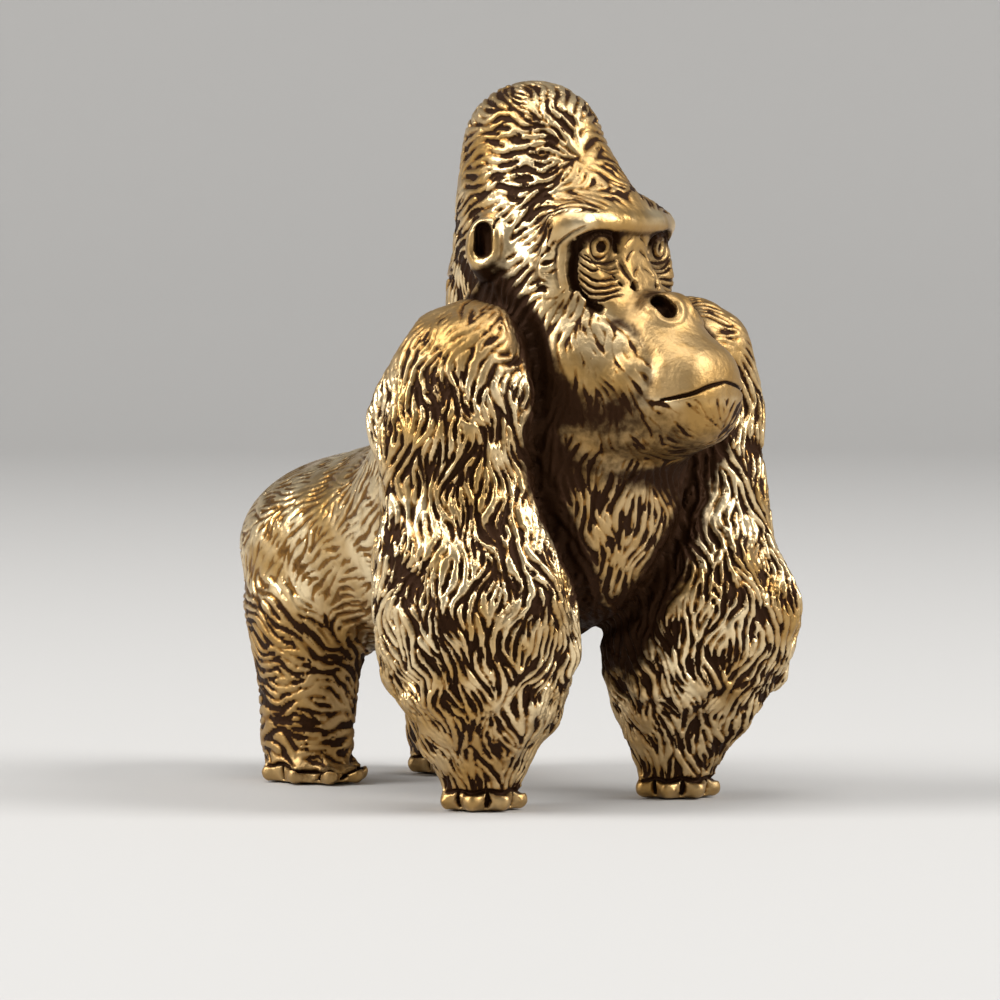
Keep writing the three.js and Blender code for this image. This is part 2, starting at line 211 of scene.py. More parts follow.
nearest = np.array([nearest_casting(place) for place in points.tolist()])
belongs = rubbed(np.eye(len(CASTINGS))[nearest], ends, SEAM_PASSES, SEAM_PRESS)
casting_of_quad = belongs[quads].sum(1).argmax(1)

# Head. Skull, nape and face are one casting. Brow, eye rims, cheeks and lips are raised in the wax,
# and the face between brow and lips is left bare of fur and rubbed to a satin.
# Places are millimetres from the neck, alike on both sides: out from the middle, forward and up.
BROW_CORNER = ((4.2, 5.5, 5.25), (4.9, 4.95, 4.85), (5.05, 3.8, 4.35))
BROW_BAND = ((0, 6.1, 5.55), (1.8, 5.95, 5.55), (3.5, 5.65, 5.45), *BROW_CORNER, (5.0, 2.8, 3.4))
BROW_BAND_REACH = 0.8
EYE_RIM = (*BROW_CORNER, (4.95, 2.9, 3.75), (5.05, 2.75, 2.95), (5.2, 2.9, 1.9))
CHEEK_FOLD = ((3.2, 6.1, 0.1), (2.8, 7.4, -0.75), (3.05, 8.9, -2.4), (3.4, 8.8, -4.2))
FACE_SWELLS = {  # middle, reach and height
    "cheek": ((5.0, 4.6, -2.4), 2.2, 0.25),
    "cheek by the mouth": ((3.7, 8.0, -3.4), 1.5, 0.30),
    "upper lip": ((1.6, 10.6, -2.6), 1.8, 0.15),
    "eye bag": ((3.0, 5.4, 1.9), 1.1, 0.20),
}
FACE_RIDGES = {  # path, reach and height
    "forehead": (((0, 5.0, 6.8), (2.2, 4.8, 6.7), (3.6, 4.2, 6.4)), 1.4, 0.25),
    "eye rim": (EYE_RIM, 0.6, 0.36),
    "cheek fold": (CHEEK_FOLD, 0.9, -0.22),
}
# How far forward the bridge of the nose stands at each height
BRIDGE_RISE = (1.4, 2.0, 2.6, 3.4, 4.4, 5.2)
BRIDGE_FORWARD = (6.6, 6.35, 6.0, 5.7, 5.7, 5.95)
BRIDGE_HALF_WIDTH = 1.35
BRIDGE_BOTTOM = (1.4, 2.0)
BRIDGE_TOP = (5.2, 5.6)
BRIDGE_FRONT = (2.0, 3.0)
BROW_END = (4.9, 4.3, 5.2)  # rounded off with a file
BROW_END_REACH = 1.8
# The lie of the hair, and where each part of the head begins and ends
WHORL = (-1.6, 2.7, 8.8)  # of the crown, a little to the right
WHORL_RISE = (6.0, 9.0)
LEAST_LENGTH = 1e-9  # keeps a way without length from being divided by 0
NAPE_WAY = np.array((0, -0.88, -0.48))
JAW_WAY = np.array((0, -0.25, -0.97))
CHEEK_FAN = (4.2, 4.8, 2.4)  # the cheek's hair spreads from here
CHEEK_FRONT = (1.6, 3.0)
CHEEK_TOP = (0.6, 2.4)
CROWN_RISE = (7.0, 9.5)
FOREHEAD_RISE = (5.6, 6.4)
FOREHEAD_FRONT = (2.0, 3.0)
CHIN_TOP = (-5.4, -4.6)
MASK_OUT = (2.5, 3.5, 4.8)  # the bare mask about the eyes
MASK_BOTTOM = (-0.2, 0.1, 1.4)
MASK_EDGE = (-0.2, 0.6)
MASK_TOP = (5.6, 6.0)
MASK_FRONT = (3.0, 4.0)
MUZZLE_RISE = (-4.7, -3.2, -2.4, -0.75, 0.0, 1.0)  # the bare muzzle starts along this line
MUZZLE_FORWARD = (8.6, 9.3, 8.9, 7.4, 6.1, 5.5)
MUZZLE_EDGE = (-0.6, 0.5)
MUZZLE_BOTTOM = (-5.0, -4.4)
BARE_EAR_MIDDLE = (5.4, -1.3, 4.0)
BARE_EAR_HALF_SIZES = (1.6, 1.7, 2.1)
BARE_EAR_EDGE = (0.95, 1.1)
# Hair: millimetres from furrow to furrow, their depth, and shares of cover, stretch, patina and satin
HEAD_HAIR = {"spacing": 0.48, "depth": 0.17, "cover": 0.46, "stretch": 0.7, "patina": 1.0, "satin": 0.2}
CROWN_CHANGE = {"spacing": 0.06, "cover": -0.08, "patina": -0.15, "satin": 0.3}
CHEEK_CHANGE = {"depth": -0.12, "cover": -0.16, "patina": -0.10}
FOREHEAD_CHANGE = {"depth": -0.08, "cover": -0.10, "patina": -0.20}
CHIN_CHANGE = {"stretch": -0.2}
MASK_SATIN = 0.7
FOREHEAD_SATIN = 0.8
CHIN_SATIN = 0.9
CHEEK_SATIN = 0.5


def path_gaps(places, path):
    """How far each place lies from a bent line."""
    gaps = np.full(len(places), np.inf)
    corners = np.array(path, float)
    for start, end in zip(corners[:-1], corners[1:]):
        run = end - start
        along = np.clip((places - start) @ run / (run @ run), 0, 1)
        gaps = np.minimum(gaps, np.linalg.norm(places - start - along[:, None] * run, axis=1))
    return gaps


def mound(gaps, reach):
    """1 on the line, 0 from the reach on, round between."""
    share = np.clip(gaps / reach, 0, 1)
    return (1 - share * share) ** 2


def side_of(places):
    """What turns each place's right side over to the left, and back again."""
    return np.sign(places[:, :1]) ** (1, 0, 0)


def both_sides(places):
    """Places with the animal's right side folded over to its left."""
    return places * side_of(places)


def unit(vectors):
    return vectors / (np.linalg.norm(vectors, axis=1, keepdims=True) + LEAST_LENGTH)


def mixed(share, first, second):
    """The second where the share is 1, the first where it is 0."""
    return first + share[:, None] * (second - first)


def grown(hair, *regions):
    """The hair's values at each place, with the changes of every region by its share there."""
    hair = dict(hair)
    for share, changes in regions:
        for name, change in changes.items():
            hair[name] = hair[name] + change * share
    return hair


def head_coat(places, normals):
    """The way of the head's hair at each place, and its values there."""
    seen = in_head(places)
    folded = both_sides(seen)
    out, ahead, up = folded.T
    front = fade(ahead, *CHEEK_FRONT)
    low = 1 - fade(up, *CHEEK_TOP)
    fan = unit((folded - CHEEK_FAN) * side_of(seen))
    way = mixed(fade(up, *WHORL_RISE), NAPE_WAY, unit(seen - WHORL))
    way = mixed(low, way, mixed(front, JAW_WAY, fan))
    cheek = front * low
    crown = fade(up, *CROWN_RISE)
    forehead = fade(up, *FOREHEAD_RISE) * fade(ahead, *FOREHEAD_FRONT)
    chin = 1 - fade(up, *CHIN_TOP)
    above_mask_edge = up - np.interp(out, MASK_OUT, MASK_BOTTOM)
    mask = fade(above_mask_edge, *MASK_EDGE) * (1 - fade(up, *MASK_TOP)) * fade(ahead, *MASK_FRONT)
    muzzle = fade(ahead - np.interp(up, MUZZLE_RISE, MUZZLE_FORWARD), *MUZZLE_EDGE)
    muzzle *= fade(up, *MUZZLE_BOTTOM)
    from_ear = np.linalg.norm((folded - BARE_EAR_MIDDLE) / BARE_EAR_HALF_SIZES, axis=1)
    changes = (crown, CROWN_CHANGE), (cheek, CHEEK_CHANGE), (forehead, FOREHEAD_CHANGE), (chin, CHIN_CHANGE)
    hair = grown(HEAD_HAIR, *changes)
    hair["cover"] *= fade(from_ear, *BARE_EAR_EDGE) * (1 - mask) * (1 - muzzle)
    satins = (MASK_SATIN * mask, FOREHEAD_SATIN * forehead, CHIN_SATIN * chin, CHEEK_SATIN * cheek)
    band = mound(path_gaps(folded, BROW_BAND), BROW_BAND_REACH)
    hair["satin"] = np.max((hair["satin"], muzzle, *satins), axis=0) * (1 - band)
    return way @ head_axes, hair


places = both_sides(in_head(points))
raised = np.zeros(len(points))
for middle, reach, height in FACE_SWELLS.values():
    raised += height * mound(np.linalg.norm(places - middle, axis=1), reach)
for path, reach, height in FACE_RIDGES.values():
    raised += height * mound(path_gaps(places, path), reach)

# Arms. Each is one casting from the shoulder to the knuckles, soldered to the chest over a dowel.
# Long locks of fur swell the wax, with rounder knots above the wrist, and a crease is cut along
# the seam on the chest. The shoulder is rubbed smoother than the rest.
LOCK_SIZE = (2.4, 2.4, 4.2)
LOCK_HEIGHT = 0.55
KNOT_SIZE = 1.5
KNOT_HEIGHT = 0.45
KNOT_RISE = 6.5  # from the ground
KNOT_REACH = 4.0
LOCK_BOTTOM = (1.5, 4.0)
CREASE_DEPTH = 0.7
CREASE_BACK = (-4.0, -1.0)
SHOULDER_RISE = (23.0, 26.5)
SHOULDER_FALL = 4  # the shoulder's hair runs away from the neck and down
WRIST_RISE = (4.0, 7.0)
HAIRLINE = (1.0, 1.3)  # the fur starts above the finger and toe tips
DOWN = np.array((0, 0, -1))
ARM_HAIR = {"spacing": 0.55, "depth": 0.26, "cover": 0.46, "stretch": 0.55, "patina": 1.0, "satin": 0.2}
SHOULDER_CHANGE = {"depth": -0.14, "cover": -0.22, "patina": -0.25, "satin": 0.6}
WRIST_CHANGE = {"spacing": -0.03, "depth": -0.06, "satin": 0.4}


def lumps(size):
    """Soft lumps of about this size, from -1 to 1 at each point of the skin."""
    return np.array([noise.noise(Vector(place)) for place in (points / size).tolist()])


def seam_share(share):
    """1 where a casting meets the next, 0 inside either."""
    return 4 * share * (1 - share)


def arm_coat(places, normals):
    height = places[:, 2]
    shoulder = fade(height, *SHOULDER_RISE)
    wrist = 1 - fade(height, *WRIST_RISE)
    away = places - neck
    away[:, 2] = -SHOULDER_FALL
    hair = grown(ARM_HAIR, (shoulder, SHOULDER_CHANGE), (wrist, WRIST_CHANGE))
    hair["cover"] *= fade(height, *HAIRLINE)
    return mixed(shoulder, DOWN, unit(away)), hair


arm_share = belongs[:, ARMS].sum(1)
knots = lumps(KNOT_SIZE) * mound(np.abs(points[:, 2] - KNOT_RISE), KNOT_REACH)
locks = LOCK_HEIGHT * lumps(LOCK_SIZE) + KNOT_HEIGHT * knots
raised += locks * arm_share * fade(points[:, 2], *LOCK_BOTTOM)

# Hands and feet. Rows of round finger and toe tips stand along the front edge of each flat sole,
# cast in one with the limb and rubbed bright.
TIP_ROWS = {"hand": (5, 190, 2.0, 1.9), "foot": (6, 210, 2.4, 3.3)}  # tips, degrees, half sizes
TIP_REACH = 0.8
TIP_HEIGHT = 0.22
TIP_BEYOND = 0.4  # the sole's edge
TIP_RISE = 0.6


def tip_row(mount):
    """The row of tips on the edge of a sole."""
    return TIP_ROWS["hand" if "hand" in mount["name"] else "foot"]


def edge_place(mount, share, beyond, height):
    """A place on the front edge of a hand or foot, as a share of the row of tips."""
    _, fan, half_across, half_along = tip_row(mount)
    turn = math.radians(fan * (share - 0.5) - 90)
    reach = ((half_across + beyond) * math.cos(turn), (half_along + beyond) * math.sin(turn), height)
    return np.array(mount["pos_m"]) / MM + reach


for mount in frame["record"]["mounts"]:
    count = tip_row(mount)[0]
    for number in range(count):
        tip = edge_place(mount, number / (count - 1), TIP_BEYOND, TIP_RISE)
        raised += TIP_HEIGHT * mound(np.linalg.norm(points - tip, axis=1), TIP_REACH)

# Hind legs. Each is one casting of hip, shin and foot, soldered to the trunk over a dowel.
# Shallow furrows run round the leg and darken towards the foot.
HIP_RISE = (9.0, 12.0)
LEG_SWEEP = (0, 0.3, -0.2)  # back and down
LEG_HAIR = {"spacing": 0.60, "depth": 0.11, "cover": 0.46, "stretch": 0.5, "patina": 0.8, "satin": 0.9}
HIP_CHANGE = {"patina": -0.5, "satin": -0.9}


def leg_coat(places, normals):
    height = places[:, 2]
    hair = grown(LEG_HAIR, (fade(height, *HIP_RISE), HIP_CHANGE))
    hair["cover"] *= fade(height, *HAIRLINE)
    return np.cross((0, 0, 1), normals) + LEG_SWEEP, hair


# Trunk. Rump, back, hump and chest are one casting, which carries the other five.
# The back's fur is short, shallow and rubbed bright, and the chest's hangs down in deeper locks.
CHEST_BACK = (-8.0, -6.0)
CHEST_TOP = (23.0, 25.0)
BACK_WAY = np.array((0, 0.8, -0.6))
TRUNK_HAIR = {"spacing": 0.52, "depth": 0.10, "cover": 0.32, "stretch": 0.4, "patina": 0.35, "satin": 0.1}
CHEST_CHANGE = {"depth": 0.06, "cover": 0.14, "stretch": 0.2, "patina": 0.6, "satin": 0.6}


def trunk_coat(places, normals):
    chest = (1 - fade(places[:, 1], *CHEST_BACK)) * (1 - fade(places[:, 2], *CHEST_TOP))
    return mixed(chest, BACK_WAY, DOWN), grown(TRUNK_HAIR, (chest, CHEST_CHANGE))


# Modelled skin. What the sections above raise is laid on the blank at once. Then the bridge of the
# nose is built up, the ends of the brow are rounded and the arms' creases are cut.
points += raised[:, None] * normals_of(points, quads)
points[:, 2] = np.maximum(points[:, 2], 0)
out, ahead, up = both_sides(in_head(points)).T
missing = np.maximum(0, np.interp(up, BRIDGE_RISE, BRIDGE_FORWARD) - ahead)
missing *= fade(up, *BRIDGE_BOTTOM) * (1 - fade(up, *BRIDGE_TOP)) * fade(ahead, *BRIDGE_FRONT)
missing *= 1 - fade(out, 0.5 * BRIDGE_HALF_WIDTH, 1.5 * BRIDGE_HALF_WIDTH)
points += missing[:, None] * head_axes[1]
from_brow_end = np.linalg.norm(both_sides(in_head(points)) - BROW_END, axis=1)
points = rubbed(points, ends, FILE_PASSES, FILE_PRESS * mound(from_brow_end, BROW_END_REACH)[:, None])
crease = seam_share(arm_share) ** 2 * (1 - fade(points[:, 1], *CREASE_BACK))
points -= CREASE_DEPTH * crease[:, None] * normals_of(points, quads)
skin_tree = BVHTree.FromPolygons(points.tolist(), quads.tolist())

# Fur. Furrows and finer scratches are cut into the brass along the lie of the hair, each coat with
# its own spacing and depth. Here random grain on a finer skin is drawn out along the hair and
# sharpened across it, round after round, until it stands in ridges and furrows.
COATS = (trunk_coat, head_coat, arm_coat, arm_coat, leg_coat, leg_coat)
FUR_SEED = 7
COMB_ROUNDS = 18
COMB_GAIN = 12.0
LENGTH_STROKES = 4
WIDTH_STROKES = 3
COMB_PRESS = 0.85
HARDEST_PRESS = 0.78
WIDEST_SPACING = 0.85
LENGTH_SHARPNESS = 5
WIDTH_SHARPNESS = 3
LEAST_WEIGHT = 1e-5
FINE_PASSES = 2
FINE_PRESS = 0.5
# Slow waves that make the coat uneven: their pace along x, y and z, and their height
SPACINGS = (((1.3, -0.9, 0.8), 0.15), ((-0.7, 1.6, -1.2), 0.15))
WAVES = (((0.9, 0.5, 0.7), 0.36), ((-0.8, 1.3, 1.6), 0.32), ((2.3, -1.9, 1.4), 0.26))
BREAKS = (((2.3, 1.9, -1.7), 0.30), ((-1.9, 2.7, 2.1), 0.28), ((2.6, -2.2, 3.6), 0.28))
PATCHES = (((0.9, -0.6, 0.5), 0.18), ((-0.5, 0.8, -1.1), 0.18), ((1.3, 1.2, 1.5), 0.14))
COVER_GAIN = 2.2
FURROW_COVER = 0.53
SCRATCH_COVER = 0.68
SCRATCH_SPACING = 0.62  # of the furrows' spacing
LEAST_SPACING = 0.42
FURRED_COVER = (0.02, 0.2)
# Where the patina and the relief of furrows and scratches start and are full
FURROW_PATINA = (-0.1, 0.6)
SCRATCH_PATINA = (0.0, 0.6)
SCRATCH_PATINA_SHARE = 0.9
FURROW_RELIEF = (-0.9, 0.7)
SCRATCH_RELIEF = (-0.2, 0.6)
SCRATCH_RELIEF_SHARE = 0.6


def halved(columns, quads):
    """Each quad split into four. The columns are averaged."""
    ends, which = sides_of(quads)
    first_centre = len(columns) + len(ends)
    which = which + len(columns)
    columns = np.concatenate((columns, columns[ends].mean(1), columns[quads].mean(1)))
    centres = first_centre + np.arange(len(quads))
    parts = [np.stack((quads[:, k], which[:, k], centres, which[:, k - 1]), 1) for k in range(4)]
    return columns, np.concatenate(parts)


def swayed(places, waves):
    return sum(height * np.sin(places @ np.array(pace)) for pace, height in waves)


normals = normals_of(points, quads)
columns, fine_quads = halved(np.concatenate((points, belongs), 1), quads)
casting_of_fine = np.tile(casting_of_quad, 4)
fine_ends, _ = sides_of(fine_quads)
columns = rubbed(columns, fine_ends, FINE_PASSES, FINE_PRESS)
fine_points = columns[:, :3]
fine_belongs = columns[:, 3:]
fine_normals = normals_of(fine_points, fine_quads)

way = np.zeros_like(fine_points)
hair = {name: np.zeros(len(fine_points)) for name in HEAD_HAIR}
for coat, share in zip(COATS, fine_belongs.T):
    own_way, own_hair = coat(fine_points, fine_normals)
    way += share[:, None] * own_way
    for name, value in own_hair.items():
        hair[name] += share * value
spacing = hair["spacing"] * (1 + swayed(fine_points, SPACINGS))
cover = hair["cover"] * (1 + swayed(fine_points, PATCHES))
way -= fine_normals * (way * fine_normals).sum(1)[:, None]
way = unit(way)
aside = swayed(fine_points, WAVES)[:, None]
way = way * np.cos(aside) + np.cross(fine_normals, way) * np.sin(aside)

near = np.concatenate((fine_ends, fine_quads[:, (0, 2)], fine_quads[:, (1, 3)]))
here = np.concatenate((near[:, 0], near[:, 1]))
there = np.concatenate((near[:, 1], near[:, 0]))
heading = (unit(fine_points[there] - fine_points[here]) * way[here]).sum(1) ** 2


def shared_out(weights):
    """Weights of each point's neighbours, made to add up to 1."""
    return weights / np.bincount(here, weights, len(fine_points))[here]


lengthways = shared_out(heading ** LENGTH_SHARPNESS + LEAST_WEIGHT)
crossways = shared_out((1 - heading) ** WIDTH_SHARPNESS + LEAST_WEIGHT)


def spread(values, weights, press):
    """Values moved towards the weighted mean of their neighbours."""
    return values + press * (np.bincount(here, weights * values[there], len(values)) - values)


def combed(spacing, seed):
    """Ridges and furrows from 1 to -1, this far apart, drawn out along the hair from random grain."""
    grain = np.random.default_rng(seed).uniform(-1, 1, len(fine_points))
    press = np.minimum(HARDEST_PRESS, COMB_PRESS * (spacing / WIDEST_SPACING) ** 2)
    for _ in range(COMB_ROUNDS):
        for _ in range(LENGTH_STROKES):
            grain = spread(grain, lengthways, hair["stretch"])
        narrow = spread(grain, crossways, press)
        wide = narrow
        for _ in range(WIDTH_STROKES):
            wide = spread(wide, crossways, press)
        grain = np.clip(COMB_GAIN * (narrow - wide), -1, 1)
    return rubbed(grain[:, None], fine_ends, FINE_PASSES, FINE_PRESS)[:, 0]


breaks = swayed(fine_points, BREAKS)
furrow = combed(spacing, FUR_SEED) + COVER_GAIN * (cover - FURROW_COVER) + breaks
scratch = combed(np.maximum(SCRATCH_SPACING * spacing, LEAST_SPACING), FUR_SEED + 1)
scratch = scratch + COVER_GAIN * (cover - SCRATCH_COVER) + breaks
furred = fade(cover, *FURRED_COVER)
fur = np.maximum(fade(furrow, *FURROW_PATINA), SCRATCH_PATINA_SHARE * fade(scratch, *SCRATCH_PATINA))
fur = fur * hair["patina"] * furred
dip = np.maximum(fade(furrow, *FURROW_RELIEF), SCRATCH_RELIEF_SHARE * fade(scratch, *SCRATCH_RELIEF))
dip *= furred

# Nostrils and ears. Both are pits bored into the head casting, with a rolled rim round them.
# Each is drawn from a start to an end, with its radius, its depth and the way it opens.
HOLES = {
    "nostril": ((1.2, 8.2, 0.8), (0.9, 8.6, 0.2), 0.58, 1.2, (0.7, 0.65, 0.3)),
    "ear": ((5.6, -1.0, 4.75), (5.6, -1.0, 3.7), 0.58, 0.9, (0.78, 0.62, 0.05)),
}
HOLE_REACH = (1.6, 2.0)  # along the bore
HOLE_PATINA = (0.1, 0.6)
RIM_HALF_WIDTH = 0.3
RIM_HEIGHT = 0.14
seen = in_head(fine_points)
places = both_sides(seen)
for start, end, radius, depth, axis in HOLES.values():
    axis = np.array(axis) / np.linalg.norm(axis)
    off = (places - start) @ axis
    flat_end = end - axis * ((np.array(end) - start) @ axis)
    gaps = path_gaps(places - np.outer(off, axis), (start, flat_end))
    close = 1 - fade(np.abs(off), *HOLE_REACH)
    hole = (1 - fade(gaps, 0.5 * radius, radius)) * close
    rim = mound(np.abs(gaps - radius - RIM_HALF_WIDTH), RIM_HALF_WIDTH) * close
    fine_points += (RIM_HEIGHT * rim - depth * hole)[:, None] * ((axis * side_of(seen)) @ head_axes)
    fur = np.maximum(fur, fade(hole, *HOLE_PATINA))

# Lines of the face, fingers and toes. They are chased into the castings with a graver: the folds
# and lids of the eyes, the mouth, the wrinkles on the nose, and the gaps between the tips.
# Each is a path, half the width of the stroke and its depth.
FACE_LINES = {
    "eye socket": (
        ((4.05, 4.7, 4.3), (4.15, 4.6, 3.5), (4.25, 4.55, 2.2), (4.05, 4.85, 1.15), (3.4, 5.7, 0.45)),
        0.8, 0.65,
    ),
    "upper lid": (((4.2, 4.8, 4.3), (3.5, 5.2, 4.6), (2.7, 5.5, 4.7), (2.1, 5.7, 4.5)), 0.34, 0.4),
    "socket's inner corner": (((2.1, 5.7, 4.6), (1.75, 5.6, 4.2), (1.45, 5.3, 3.6)), 0.32, 0.35),
    "beside the nose": (((1.4, 5.5, 3.0), (1.35, 5.8, 2.4), (1.15, 6.2, 1.8)), 0.26, 0.16),
    "lower lid": (((4.0, 5.0, 3.4), (3.4, 5.3, 3.0), (2.2, 5.25, 2.85), (1.4, 5.25, 3.1)), 0.16, 0.2),
    "rim groove": (
        (
            (4.25, 5.5, 4.9), (4.85, 4.85, 4.45), (5.0, 4.05, 3.95),
            (4.97, 3.55, 3.3), (5.1, 3.65, 2.4), (4.9, 3.9, 1.6),
        ),
        0.22, 0.13,
    ),
    "upper bridge wrinkle": (((0.25, 5.9, 4.35), (0.7, 5.8, 4.2), (1.0, 5.7, 3.9)), 0.15, 0.12),
    "middle bridge wrinkle": (((0.3, 5.8, 3.6), (0.75, 5.8, 3.4), (1.0, 5.8, 3.1)), 0.15, 0.14),
    "lower bridge wrinkle": (((0.2, 6.1, 2.7), (0.6, 6.1, 2.55), (0.85, 6.2, 2.2)), 0.15, 0.14),
    "pupil": (((2.75, 5.3, 3.85), (2.7, 5.3, 3.8)), 0.8, 0.42),
    "upper pit": (((2.1, 5.65, 2.2), (2.0, 5.7, 2.1)), 0.2, 0.25),
    "lower pit": (((1.85, 5.9, 1.8), (1.8, 6.0, 1.7)), 0.2, 0.25),
    "pit by the nose": (((1.1, 6.2, 1.75), (1.0, 6.3, 1.5)), 0.36, 0.45),
    "mouth": (
        ((0, 11.95, -3.76), (1.35, 11.8, -4.0), (2.2, 11.5, -4.35), (2.85, 10.7, -4.6), (3.1, 9.8, -4.76)),
        0.2, 0.32,
    ),
    "ear helix": (((4.9, -0.5, 5.5), (5.3, -0.6, 4.8)), 0.2, 0.3),
    "behind the ear": (((5.2, -2.7, 5.4), (5.3, -3.0, 4.0), (5.3, -2.5, 2.7)), 0.3, 0.3),
}
BAG_FOLDS = 6  # under each eye
BAG_FOLD_STEP = 0.42
BAG_FOLD_STROKE = (0.15, 0.2)
IRIS_OUT = 2.75
IRIS_FORWARD = 5.3
IRIS_RISE = 3.82
IRIS_RADIUS = 0.74
IRIS_STEPS = 16
IRIS_STROKE = (0.18, 0.20)
KNUCKLE_STROKE = (0.26, 0.4)  # along the top of the tips
KNUCKLE_RISE = 1.15
KNUCKLE_STEPS = 24
GAP_STROKE = (0.22, 0.45)  # between two tips
GAP_RISES = (0.1, 1.05)
STROKE_BEYOND = 0.45
LINE_STEP = 0.12
LINE_EASING = 6
THIN_END = 0.55  # of the stroke's full size

stroke_points, stroke_edges, stroke_widths, stroke_depths = [], [], [], []


def on_head(path, side):
    """A path of the head on its left side, 1, or its right, -1, in the figure's millimetres."""
    return neck + np.array(path) * (side, 1, 1) @ head_axes


def add_line(path, half_width, depth):
    """A chased line, eased at its corners, thinner at its ends and laid on the skin."""
    first = len(stroke_points)
    corners = np.array(path, float)
    run = np.concatenate(((0,), np.linalg.norm(np.diff(corners, axis=0), axis=1).cumsum()))
    stops = np.linspace(0, run[-1], max(3, round(run[-1] / LINE_STEP)))
    line = np.stack([np.interp(stops, run, part) for part in corners.T], 1)
    for _ in range(LINE_EASING):
        line[1:-1] = (line[:-2] + 2 * line[1:-1] + line[2:]) / 4
    for number, place in enumerate(line):
        middle = math.sin(math.pi * (number + 0.5) / len(line)) ** 0.5
        taper = THIN_END + (1 - THIN_END) * middle
        stroke_points.append(skin_tree.find_nearest(Vector(place))[0])
        stroke_widths.append(half_width * taper)
        stroke_depths.append(depth * taper)
        if number:
            stroke_edges.append((first + number - 1, first + number))


for path, half_width, depth in FACE_LINES.values():
    for side in (1, -1):
        add_line(on_head(path, side), half_width, depth)
for number in range(BAG_FOLDS):
    fall = BAG_FOLD_STEP * number
    fold = (
        (4.1, 4.8, 3.35 - fall), (3.6, 5.1, 2.85 - fall),
        (2.9, 5.5, 2.65 - 0.9 * fall), (1.9, 5.7, 2.8 - 0.95 * fall),
    )
    for side in (1, -1):
        add_line(on_head(fold, side), *BAG_FOLD_STROKE)
for side in (1, -1):
    ring = []
    for step in range(IRIS_STEPS + 1):
        turn = 2 * math.pi * step / IRIS_STEPS
        out = side * IRIS_OUT + IRIS_RADIUS * math.cos(turn)
        ring.append((out, IRIS_FORWARD, IRIS_RISE + IRIS_RADIUS * math.sin(turn)))
    add_line(on_head(ring, 1), *IRIS_STROKE)
for mount in frame["record"]["mounts"]:
    shares = [step / KNUCKLE_STEPS for step in range(KNUCKLE_STEPS + 1)]
    knuckles = [edge_place(mount, share, STROKE_BEYOND, KNUCKLE_RISE) for share in shares]
    add_line(knuckles, *KNUCKLE_STROKE)
    gap_count = tip_row(mount)[0] - 1
    for number in range(gap_count):
        share = (number + 0.5) / gap_count
        add_line([edge_place(mount, share, STROKE_BEYOND, rise) for rise in GAP_RISES], *GAP_STROKE)

strokes_mesh = bpy.data.meshes.new("fur_strokes")
strokes_mesh.from_pydata(stroke_points, stroke_edges, [])
for name, values in (("half_width", stroke_widths), ("depth", stroke_depths)):
    layer = strokes_mesh.attributes.new(name, "FLOAT", "POINT")
    layer.data.foreach_set("value", np.array(values, np.float32))
strokes = bpy.data.objects.new("fur_strokes", strokes_mesh)
bpy.context.scene.collection.objects.link(strokes)

# Carving. One node tree sinks the fur and the chased lines into the skin of every casting, and
# leaves the slight lumps of the cast metal between them.
GRAIN_SCALE = 1.6
GRAIN_DETAIL = 2.0
GRAIN_HEIGHT = 0.05
STAIN_GAIN = 4.0  # a line a quarter of a millimetre deep holds full patina
POINT_VALUE = {"data_type": "FLOAT", "domain": "POINT"}


def plug(tree, value, target):
    """Links another node's output to an input, or sets a plain value on it."""
    if isinstance(value, bpy.types.NodeSocket):
        tree.links.new(value, target)
    else:
        target.default_value = value


def node_in(tree, kind, settings=(), **inputs):
    """A new node with its settings and inputs, by name or, as i0 and i1, by number."""
    node = tree.nodes.new(kind)
    for name, value in dict(settings).items():
        setattr(node, name, value)
    for name, value in inputs.items():
        key = int(name[1:]) if name[1:].isdigit() else name.replace("_", " ")
        plug(tree, value, node.inputs[key])
    return node


def maths(tree, operation, first, second=0.0, clamp=False):
    settings = {"operation": operation, "use_clamp": clamp}
    return node_in(tree, "ShaderNodeMath", settings, i0=first, i1=second).outputs[0]


carve = bpy.data.node_groups.new("carve_fur", "GeometryNodeTree")


def socket(name, kind, way="INPUT"):
    return carve.interface.new_socket(name, in_out=way, socket_type=f"NodeSocket{kind}")


def stored(name, kind="FLOAT"):
    """An attribute of the mesh by its name."""
    return node_in(carve, "GeometryNodeInputNamedAttribute", {"data_type": kind}, i0=name).outputs[0]


socket("Skin", "Geometry")
strokes_input = socket("Strokes", "Object")
grain_input = socket("Grain Height", "Float")
finish_input = socket("Finish", "Material")
socket("Skin", "Geometry", "OUTPUT")
given = carve.nodes.new("NodeGroupInput")
result = carve.nodes.new("NodeGroupOutput")
drawn = node_in(carve, "GeometryNodeObjectInfo", i0=given.outputs["Strokes"]).outputs["Geometry"]
gap = node_in(carve, "GeometryNodeProximity", {"target_element": "EDGES"}, i0=drawn).outputs["Distance"]
nearest_point = node_in(carve, "GeometryNodeSampleNearest", {"domain": "POINT"}, i0=drawn).outputs[0]


def stroke_value(name):
    """A size of the stroke that lies nearest."""
    inputs = {"Geometry": drawn, "Value": stored(name), "Index": nearest_point}
    return node_in(carve, "GeometryNodeSampleIndex", POINT_VALUE, **inputs).outputs[0]


